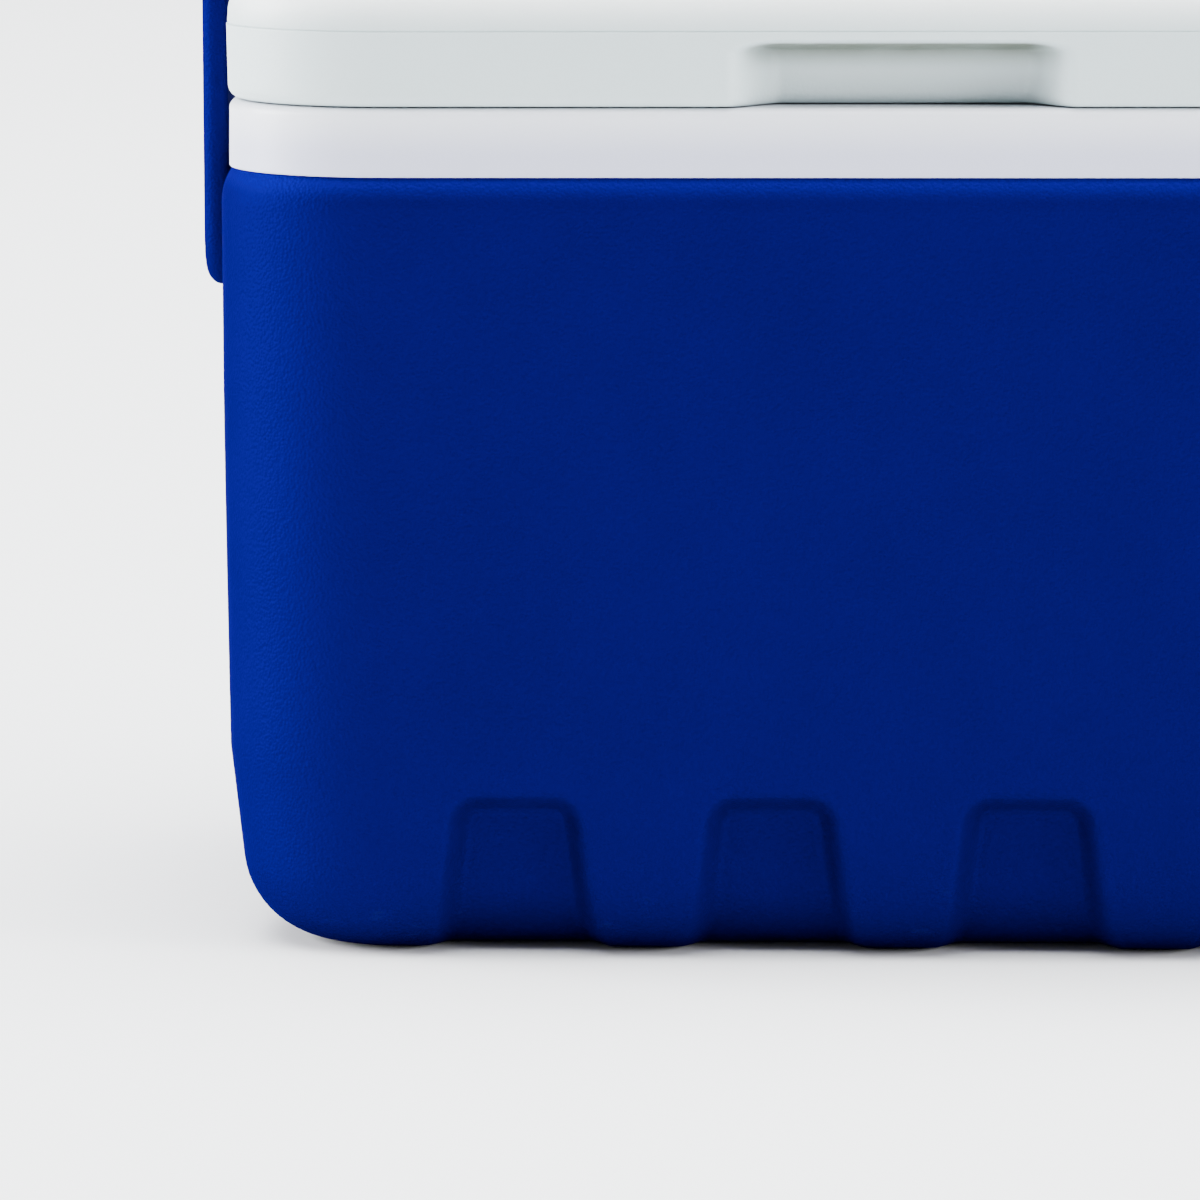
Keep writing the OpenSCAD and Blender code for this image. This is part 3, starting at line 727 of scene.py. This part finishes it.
def make_liner():
    def collar(inset, z):
        return (COLLAR_HALF_W - inset, COLLAR_HALF_D - inset, COLLAR_R - inset, z, 0)

    def tub(inset, z):
        return (TUB_HALF_W - inset, TUB_HALF_D - inset, TUB_R - inset, z, 0)

    arc_z = TUB_FLOOR + TUB_FILLET
    arc_inset = (COLLAR_TOP - arc_z) * TUB_SLOPE + TUB_FILLET
    outside = arc((arc_inset, arc_z), TUB_FILLET + WALL, -90, 0, 6)
    inside = arc((arc_inset, arc_z), TUB_FILLET, 0, -90, 12)
    deck_under = COLLAR_TOP - DECK
    lip_inset = TUB_LIP_R * TUB_SLOPE
    rows = [(60, 40, 10, TUB_FLOOR - WALL, 0)]
    rows += [tub(*p) for p in outside]
    rows += [tub(lip_inset - WALL, deck_under), collar(SKIRT, deck_under), collar(SKIRT, RIM_Z)]
    rows += [collar(*p) for p in arc((0.5, RIM_Z + 0.5), 0.5, -90, 0, 3)]
    rows += [
        collar(0.02 + (COLLAR_DRAFT - 0.02) * k / 4, RIM_Z + 1 + 17 * k / 4) for k in range(5)
    ]
    edge = (COLLAR_EDGE_R + COLLAR_DRAFT, COLLAR_TOP - COLLAR_EDGE_R)
    rows += [collar(*p) for p in arc(edge, COLLAR_EDGE_R, 0, 90, 10)]
    rows += [collar(12, COLLAR_TOP), tub(-TUB_LIP_R - 4, COLLAR_TOP)]
    lip = (-TUB_LIP_R, COLLAR_TOP - TUB_LIP_R)
    rows += [tub(2 * lip[0] - p[0], p[1]) for p in arc(lip, TUB_LIP_R, 90, 0, 6)]
    for z in spread((COLLAR_TOP - TUB_LIP_R, arc_z, 24))[1:-1]:
        rows.append(tub((COLLAR_TOP - z) * TUB_SLOPE, z))
    rows += [tub(*p) for p in inside]
    rows += [(120, 60, 10, TUB_FLOOR, 0), (60, 40, 10, TUB_FLOOR, 0)]
    marks = spread((-150, 150, 10)), spread((-80, 80, 10))
    plan = Plan(COLLAR_HALF_W, COLLAR_HALF_D, COLLAR_R, *marks)
    liner = wrap("tub_and_collar", plan, rows, COLLAR_WHITE)
    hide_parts("liner")
    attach(liner, "chest")


# ---- Lid ----


def recess_push(plan, z):
    """How far the lid's wall is pushed in at the finger recess, at one height."""
    side_ramp = RECESS_HALF_FRONT - RECESS_HALF_BACK
    a = (RECESS_HALF_FRONT - np.abs(plan.along)) / side_ramp
    b = (LID_BOTTOM + RECESS_H - z) / RECESS_TOP_RAMP
    short = np.hypot(np.maximum(1 - a, 0), max(1 - b, 0))
    return np.where(plan.side == 0, RECESS_DEPTH * ramp(1 - short), 0)


def lid_plan():
    fine = spread((-64, -34, 1.0), (-34, 34, 4), (34, 64, 1.0))
    ends = spread((-150, -64, 12))[:-1]
    long_marks = ends + fine + [-u for u in reversed(ends)]
    return Plan(LID_HALF_W, LID_HALF_D, LID_R, long_marks, spread((-80, 80, 12)))


def make_lid_cover(plan):
    def at(inset, z, share=1.0):
        return (LID_HALF_W - inset, LID_HALF_D - inset, LID_R - inset, z, share)

    turn = math.radians(LID_EDGE_TURN)
    edge = (LID_EDGE_R + 0.5, LID_TOP - CROWN_H - LID_EDGE_R * math.sin(turn))
    edge_end = edge[0] - LID_EDGE_R * math.cos(turn)

    def crown(depth, steps):
        return [
            (edge_end + (CROWN_INSET - edge_end) * t, LID_TOP - depth - CROWN_H * (1 - t) ** 2)
            for t in np.linspace(0, 1, steps + 1)[1:]
        ]

    # Down the inside from the middle of the crown
    rows = [(100, 50, 10, LID_TOP - WALL, 0)]
    rows += [at(*p, 0) for p in reversed(crown(WALL, 4))]
    rows += [at(*p, 0) for p in reversed(arc(edge, LID_EDGE_R - WALL, 0, LID_EDGE_TURN, 6))]
    ceiling = LID_BOTTOM + RECESS_H
    levels = [ceiling + up for up in (2, -2, -4, -6)] + [LID_BOTTOM + 9]
    rows += [at(LID_DRAFT + WALL, z) for z in levels]
    # Round the bottom edge and up the outside, close together at the recess's upper edge
    lip = LID_DRAFT + LID_BOTTOM_R + 1.2
    rows += [at(lip, LID_BOTTOM + 7), at(lip, LID_BOTTOM + 0.4), at(lip - 0.4, LID_BOTTOM)]
    bottom = (LID_DRAFT + LID_BOTTOM_R, LID_BOTTOM + LID_BOTTOM_R)
    rows += [at(*p) for p in arc(bottom, LID_BOTTOM_R, -90, 0, 8)]
    low = bottom[1]
    for z in spread((low, ceiling - 8, 2.5), (ceiling - 8, ceiling + 0.5, 0.5),
                    (ceiling + 0.5, LID_PARTING - 0.3, 1))[1:]:
        rows.append(at(LID_DRAFT * (1 - (z - low) / (LID_PARTING - low)), z))
    rows += [at(inset, LID_PARTING + up) for inset, up in PARTING_CREASE]
    rows += [at(*p) for p in arc(edge, LID_EDGE_R, 0, LID_EDGE_TURN, 20)]
    rows += [at(*p) for p in crown(0, 10)]
    cover = wrap("lid_moulding", plan, rows, LID_WHITE, recess_push)
    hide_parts("lid_cover")
    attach(cover, "lid")


def make_lid_pan(plan):
    half_w, half_d, radius = TUB_HALF_W - PLUG_GAP, TUB_HALF_D - PLUG_GAP, TUB_R - PLUG_GAP

    def plug(inset, z):
        return (half_w - inset, half_d - inset, radius - inset, z, 0)

    def flange(inset, z):
        return (LID_HALF_W - inset, LID_HALF_D - inset, LID_R - inset, z, 1)

    thick = PAN_HIGH[2] - PAN_BOTTOM
    edge = (PLUG_TAPER + PLUG_FILLET, PLUG_BOTTOM + PLUG_FILLET)
    # A shallow panel is sunk in the plug's underside
    panel = 1.0
    rows = [(60, 40, 8, PLUG_BOTTOM + panel, 0)]
    for inset, up in ((24, panel), (22.6, panel - 0.15), (21.4, 0.15), (20, 0)):
        rows.append(plug(inset, PLUG_BOTTOM + up))
    rows += [plug(*p) for p in arc(edge, PLUG_FILLET, -90, 0, 8)]
    rows += [plug(1.2 - 1.0 * k / 2, PLUG_BOTTOM + PLUG_FILLET + 2 + 2.2 * k) for k in range(3)]
    rows += [plug(-0.4, PAN_BOTTOM - 0.5), plug(-1.2, PAN_BOTTOM)]
    rows += [flange(PAN_INSET + 3, PAN_BOTTOM), flange(PAN_INSET, PAN_BOTTOM)]
    rows += [flange(PAN_INSET, PAN_BOTTOM + thick), flange(PAN_INSET + 4, PAN_BOTTOM + thick)]
    rows += [plug(WALL, PAN_BOTTOM + thick), plug(WALL + PLUG_TAPER, PLUG_BOTTOM + PLUG_FILLET)]
    rows += [plug(WALL + 6, PLUG_BOTTOM + WALL + panel), (60, 40, 8, PLUG_BOTTOM + WALL + panel, 0)]
    pan = wrap("lid_pan_moulding", plan, rows, LID_WHITE, recess_push)
    low, high = corner_mm("lid_fill_plug")
    radius = (high[0] - low[0]) / 2
    at = ((low[0] + high[0]) / 2, (low[1] + high[1]) / 2, PLUG_BOTTOM)
    cut_away(pan, [rod(-2, panel + WALL + 3, radius + PLUG_HOLE_GAP, at, "Z")])
    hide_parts("lid_pan")
    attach(pan, "lid")


# ---- Bail handle ----


def bail_path():
    """Stations along the bail: place in XZ, outward direction, and distance past the pivot."""
    bend_z = BAIL_TOP - BAIL_T - BEND_R
    bend_x = ARM_IN - BEND_R
    stations = []
    for a in np.radians(spread((89, 20, 6), (20, 0, 5))):
        past = BAIL_HALF_W * math.sin(a)
        stations.append((-ARM_IN, PIVOT_Z - past, -1, 0, past))
    for z in spread((PIVOT_Z, bend_z, 9))[1:]:
        stations.append((-ARM_IN, z, -1, 0, 0))
    for a in np.radians(np.linspace(0, 90, 21))[1:]:
        out = (-math.cos(a), math.sin(a))
        stations.append((-bend_x + BEND_R * out[0], bend_z + BEND_R * out[1], *out, 0))
    half = [(x, BAIL_TOP - BAIL_T, 0, 1, 0) for x in spread(
        (-bend_x, -GRIP_HALF - 12, 16), (-GRIP_HALF - 12, -GRIP_HALF + 8, 1.25),
        (-GRIP_HALF + 8, 0, 8))[1:]]
    stations += half
    mirrored = [(-x, z, -nx, nz, past) for x, z, nx, nz, past in reversed(stations[:-1])]
    return stations + mirrored


def make_bail():
    # Points across the strap, close together at its edges
    edge_steps = (0, 0.15, 0.5, 1.1, 1.9, 2.9, 4.1, 5.6, 8, 11, 13)
    across = [-(1 - d / BAIL_HALF_W) for d in edge_steps] + [0]
    across += [-v for v in reversed(across[:-1])]
    points = []
    for x, z, nx, nz, past in bail_path():
        half = math.sqrt(max(BAIL_HALF_W**2 - past**2, 0))
        edge_run = BAIL_EDGE + (BAIL_END_RUN - BAIL_EDGE) * past / BAIL_HALF_W
        on_grip = 1 - ramp((abs(x) - GRIP_HALF + 6) / 10) if nz == 1 else 0.0
        for outer in (True, False):
            for v in across if outer else reversed(across):
                y = v * half
                inward = BAIL_HALF_W - math.hypot(y, past)
                if outer:
                    t = min(inward / edge_run, 1)
                    out = BAIL_T - BAIL_EDGE * (1 - math.sqrt(max(1 - (1 - t) ** 2, 0)))
                else:
                    t = min(inward / BAIL_INNER_R, 1)
                    out = BAIL_INNER_R * (1 - math.sqrt(max(1 - (1 - t) ** 2, 0)))
                    palm = min(max(inward - 1, 0) / 7, 1)
                    out -= (GRIP_T - BAIL_T) * on_grip * math.sqrt(1 - (1 - palm) ** 2)
                points.append((x + nx * out, y, z + nz * out))
    count = 2 * len(across)
    stations = len(points) // count
    faces = [tuple(range(count)), tuple(range((stations - 1) * count, stations * count))]
    for k in range(stations - 1):
        for i in range(count):
            j = (i + 1) % count
            faces.append((k * count + i, k * count + j, (k + 1) * count + j, (k + 1) * count + i))
    bail = add_piece("bail_moulding", points, faces, BLUE, 45)
    face_outward(bail)
    cutters = []
    for side in (-1, 1):
        at = (0, 0, PIVOT_Z)
        cutters.append(rod(side * (ARM_OUT - HEAD_DEPTH), side * (ARM_OUT + 3), HEAD_HOLE_R, at))
        cutters.append(rod(side * (ARM_IN - 3), side * (ARM_OUT - 1), BORE_R, at))
    cut_away(bail, cutters)
    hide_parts("handle_bail")
    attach(bail, "handle")


# ---- Small parts ----


def soften(node, name, body, material, width, angle=35):
    """A copy of a small part with its sharp edges rounded, which stands for the node."""
    source = frame["nodes"][node]
    piece = bpy.data.objects.new(name, source.data.copy())
    bpy.context.scene.collection.objects.link(piece)
    work = bmesh.new()
    work.from_mesh(piece.data)
    bmesh.ops.remove_doubles(work, verts=work.verts, dist=0.005 * MM)
    bmesh.ops.dissolve_limit(
        work, angle_limit=math.radians(1), verts=work.verts, edges=work.edges
    )
    work.to_mesh(piece.data)
    work.free()
    piece.data.materials.clear()
    piece.data.materials.append(material)
    change = piece.modifiers.new("soften", "BEVEL")
    change.width, change.segments = width * MM, 3
    change.limit_method, change.angle_limit = "ANGLE", math.radians(angle)
    change.use_clamp_overlap = True
    settle(piece)
    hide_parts(node)
    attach(piece, body)


def dress(node, material):
    """Gives a node that stays its own finish."""
    data = frame["nodes"][node].data
    data.materials.clear()
    data.materials.append(material)


def make_small_parts():
    for end in ("left", "right"):
        leaf = f"leaf_{end}"
        soften(f"hinge_body_{leaf}", f"body_{leaf}", "chest", COLLAR_WHITE, 0.45)
        soften(f"hinge_lid_{leaf}", f"lid_{leaf}", "lid", LID_WHITE, 0.45)
        soften(f"hinge_pin_{end}", f"hinge_rod_{end}", "chest", STEEL, 0.2)
        soften(f"pivot_pin_{end}", f"pivot_bolt_{end}", "chest", STEEL, 0.35)
        dress(f"pivot_bush_{end}", ACETAL)
        dress(f"friction_washer_{end}", ACETAL)
    soften("foam_fill_plug", "base_plug", "chest", BLUE, 0.4)
    soften("foam_vent_plugs", "base_vent_plugs", "chest", BLUE, 0.3)
    soften("lid_fill_plug", "pan_plug", "lid", LID_WHITE, 0.3)
    dress("foam_core", FOAM)
    dress("lid_foam", FOAM)


# ---- What repeats, by Geometry Nodes ----


class Growth:
    """A Geometry Nodes tree with named inputs."""

    def __init__(self, name, sizes):
        self.tree = bpy.data.node_groups.new(name, "GeometryNodeTree")
        face = self.tree.interface
        face.new_socket("Geometry", in_out="INPUT", socket_type="NodeSocketGeometry")
        for size in sizes:
            face.new_socket(size, in_out="INPUT", socket_type="NodeSocketFloat")
        face.new_socket("Finish", in_out="INPUT", socket_type="NodeSocketMaterial")
        face.new_socket("Geometry", in_out="OUTPUT", socket_type="NodeSocketGeometry")
        self.inputs = self.tree.nodes.new("NodeGroupInput").outputs

    def node(self, kind, settings=None, values=None, output=0):
        made = self.tree.nodes.new(kind)
        for key, value in (settings or {}).items():
            setattr(made, key, value)
        for key, value in (values or {}).items():
            for each in value if isinstance(value, list) else [value]:
                if isinstance(each, bpy.types.NodeSocket):
                    self.tree.links.new(each, made.inputs[key])
                else:
                    made.inputs[key].default_value = each
        return made.outputs[output]

    def number(self, operation, first, second):
        return self.node("ShaderNodeMath", {"operation": operation}, {0: first, 1: second})

    def place(self, x=0.0, y=0.0, z=0.0):
        return self.node("ShaderNodeCombineXYZ", {}, {0: x, 1: y, 2: z})

    def moved(self, geometry, by, turn=(0, 0, 0)):
        values = {"Geometry": geometry, "Translation": by, "Rotation": turn}
        return self.node("GeometryNodeTransform", {}, values)

    def finish(self, geometry):
        whole = self.node("GeometryNodeRealizeInstances", {}, {"Geometry": geometry})
        values = {"Geometry": whole, "Material": self.inputs["Finish"]}
        coated = self.node("GeometryNodeSetMaterial", {}, values)
        out = self.tree.nodes.new("NodeGroupOutput")
        self.tree.links.new(coated, out.inputs[0])

    def grow(self, name, points, sizes, material):
        """Runs the tree on points in millimetres, and returns the plain mesh as a piece."""
        piece = add_piece(name, points, [], material)
        change = piece.modifiers.new("growth", "NODES")
        change.node_group = self.tree
        for item in self.tree.interface.items_tree:
            if item.in_out == "INPUT" and item.name in sizes:
                change[item.identifier] = sizes[item.name] * MM
            elif item.in_out == "INPUT" and item.name == "Finish":
                change[item.identifier] = material
        settle(piece, 30)
        return piece


def screw_tree():
    """A pan-head screw with a cross slot at each point, its shank running towards -Y."""
    tree = Growth("screw_row", ["Head Radius", "Head Height", "Shank Radius", "Length", "Slot"])
    size = tree.inputs
    half_head = tree.number("DIVIDE", size["Head Height"], 2)
    rim = tree.node("GeometryNodeMeshCylinder", {}, {
        "Vertices": 40, "Radius": size["Head Radius"], "Depth": half_head}, "Mesh")
    rim = tree.moved(rim, tree.place(z=tree.number("DIVIDE", half_head, 2)))
    crown = tree.node("GeometryNodeMeshCone", {}, {
        "Vertices": 40, "Radius Top": tree.number("MULTIPLY", size["Head Radius"], 0.72),
        "Radius Bottom": size["Head Radius"], "Depth": half_head}, "Mesh")
    crown = tree.moved(crown, tree.place(z=half_head))
    head = tree.node("GeometryNodeMeshBoolean", {"operation": "UNION"}, {1: [rim, crown]}, 0)
    arm = tree.number("MULTIPLY", size["Head Radius"], 1.1)
    slots = []
    for wide, tall in ((arm, size["Slot"]), (size["Slot"], arm)):
        extent = tree.place(wide, tall, size["Head Height"])
        box = tree.node("GeometryNodeMeshCube", {}, {"Size": extent}, "Mesh")
        slots.append(tree.moved(box, tree.place(z=size["Head Height"])))
    head = tree.node("GeometryNodeMeshBoolean", {"operation": "DIFFERENCE"}, {0: head, 1: slots}, 0)
    shank = tree.node("GeometryNodeMeshCylinder", {}, {
        "Vertices": 24, "Radius": size["Shank Radius"], "Depth": size["Length"]}, "Mesh")
    shank = tree.moved(shank, tree.place(z=tree.number("MULTIPLY", size["Length"], -0.5)))
    whole = tree.node("GeometryNodeJoinGeometry", {}, {"Geometry": [head, shank]})
    turned = tree.moved(whole, (0, 0, 0), (math.radians(-90), 0, 0))
    values = {"Points": size["Geometry"], "Instance": turned}
    tree.finish(tree.node("GeometryNodeInstanceOnPoints", {}, values))
    return tree


def make_screws():
    tree = screw_tree()
    for node, name, body in (
        ("hinge_body_screws", "body_screws", "chest"), ("hinge_lid_screws", "lid_screws", "lid"),
    ):
        low, high = corner_mm(node)
        first, last = low[0] + SCREW["Head Radius"], high[0] - SCREW["Head Radius"]
        places = [first, first + SCREW_PITCH, last - SCREW_PITCH, last]
        seat = high[1] - SCREW["Head Height"]
        points = [(x, seat, (low[2] + high[2]) / 2) for x in places]
        piece = tree.grow(name, points, SCREW, STEEL)
        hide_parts(node)
        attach(piece, body)


def rib_tree():
    """A rounded rib across the grip at each point."""
    tree = Growth("grip_ribs", ["Rib Radius", "Rib Length"])
    size = tree.inputs
    bar = tree.node("GeometryNodeMeshCylinder", {}, {
        "Vertices": 20, "Radius": size["Rib Radius"], "Depth": size["Rib Length"]}, "Mesh")
    bar = tree.moved(bar, (0, 0, 0), (math.radians(90), 0, 0))
    ends = []
    for side in (-0.5, 0.5):
        ball = tree.node("GeometryNodeMeshUVSphere", {}, {
            "Segments": 20, "Rings": 10, "Radius": size["Rib Radius"]}, "Mesh")
        end = tree.number("MULTIPLY", size["Rib Length"], side)
        ends.append(tree.moved(ball, tree.place(y=end)))
    rib = tree.node("GeometryNodeMeshBoolean", {"operation": "UNION"}, {1: [bar, *ends]}, 0)
    values = {"Points": size["Geometry"], "Instance": rib}
    tree.finish(tree.node("GeometryNodeInstanceOnPoints", {}, values))
    return tree


def make_grip_ribs():
    z = BAIL_TOP - GRIP_T + RIB_SINK
    points = [(x, 0, z) for x in spread((-RIB_END, RIB_END, RIB_PITCH))]
    ribs = rib_tree().grow("grip_ribs", points, {"Rib Radius": RIB_R, "Rib Length": RIB_L}, BLUE)
    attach(ribs, "handle")


# ---- Studio ----


def make_floor():
    finish = Finish("studio_floor", Roughness=0.9)
    cloud = finish.noise(0.6, 2)
    finish.feed("Base Color", finish.mix(cloud, (0.84, 0.845, 0.85), (0.87, 0.875, 0.88)))
    corners = ((-1, -1), (1, -1), (1, 1), (-1, 1))
    points = [(x * FLOOR_REACH, y * FLOOR_REACH, FLOOR_Z) for x, y in corners]
    floor = add_piece("studio_floor", points, [(0, 1, 2, 3)], finish.material)


def add_light(name, at, size, power):
    data = bpy.data.lights.new(name, "AREA")
    data.shape, data.size, data.size_y = "RECTANGLE", size, size
    data.energy = power
    light = bpy.data.objects.new(name, data)
    light.location = at
    light.rotation_euler = (Vector(LIT_PLACE) - Vector(at)).to_track_quat("-Z", "Y").to_euler()
    bpy.context.scene.collection.objects.link(light)


def make_world():
    """Soft light: bright overhead and at both sides, and dim in front and behind."""
    world = bpy.data.worlds.new("studio_air")
    world.use_nodes = True
    tree = world.node_tree
    tree.nodes.clear()

    def node(kind, settings=None, values=None):
        made = tree.nodes.new(kind)
        for key, value in (settings or {}).items():
            setattr(made, key, value)
        for key, value in (values or {}).items():
            if isinstance(value, bpy.types.NodeSocket):
                tree.links.new(value, made.inputs[key])
            else:
                made.inputs[key].default_value = value
        return made.outputs

    split = node("ShaderNodeSeparateXYZ", {}, {0: node("ShaderNodeTexCoord")["Generated"]})

    def eased(value, low, high, most):
        values = {"Value": value, "From Min": low, "From Max": high, "To Min": 0, "To Max": most}
        return node("ShaderNodeMapRange", {"interpolation_type": "SMOOTHSTEP"}, values)[0]

    side = node("ShaderNodeMath", {"operation": "ABSOLUTE"}, {0: split["X"]})[0]
    level = node("ShaderNodeMath", {"operation": "ADD"}, {
        0: eased(split["Z"], SKY_TOP_FROM, SKY_TOP_TO, SKY_TOP),
        1: eased(side, SKY_SIDE_FROM, SKY_SIDE_TO, SKY_SIDE)})[0]
    level = node("ShaderNodeMath", {"operation": "ADD"}, {0: level, 1: SKY_BASE})[0]
    lamp = node("ShaderNodeBackground", {}, {"Color": (*SKY_COLOUR, 1), "Strength": level})
    node("ShaderNodeOutputWorld", {}, {"Surface": lamp[0]})
    bpy.context.scene.world = world


def make_lights():
    make_world()
    add_light("left_box", LEFT_PLACE, LEFT_SIZE, LEFT_POWER)
    add_light("right_box", RIGHT_PLACE, RIGHT_SIZE, RIGHT_POWER)


def make_camera():
    """A long lens in front of the chest, turned a little left, down and round."""
    data = bpy.data.cameras.new("camera")
    data.sensor_width, data.lens = 36, LENS
    yaw, pitch, roll = (math.radians(a) for a in CAMERA_TURN)
    forward = Vector(
        (math.sin(yaw) * math.cos(pitch), math.cos(yaw) * math.cos(pitch), -math.sin(pitch))
    )
    right = Vector((math.cos(yaw), -math.sin(yaw), 0))
    up = right.cross(forward)
    level, plumb = right.copy(), up.copy()
    right = level * math.cos(roll) + plumb * math.sin(roll)
    up = plumb * math.cos(roll) - level * math.sin(roll)
    camera = bpy.data.objects.new("camera", data)
    turn = Matrix((right, up, -forward)).transposed().to_4x4()
    camera.matrix_world = Matrix.Translation(CAMERA_PLACE) @ turn
    data.clip_start, data.clip_end = 0.05, 200
    bpy.context.scene.collection.objects.link(camera)
    bpy.context.scene.camera = camera


make_camera()
make_lights()
make_floor()
make_outer_shell()
make_liner()
lid_columns = lid_plan()
make_lid_cover(lid_columns)
make_lid_pan(lid_columns)
make_bail()
make_small_parts()
make_screws()
make_grip_ribs()
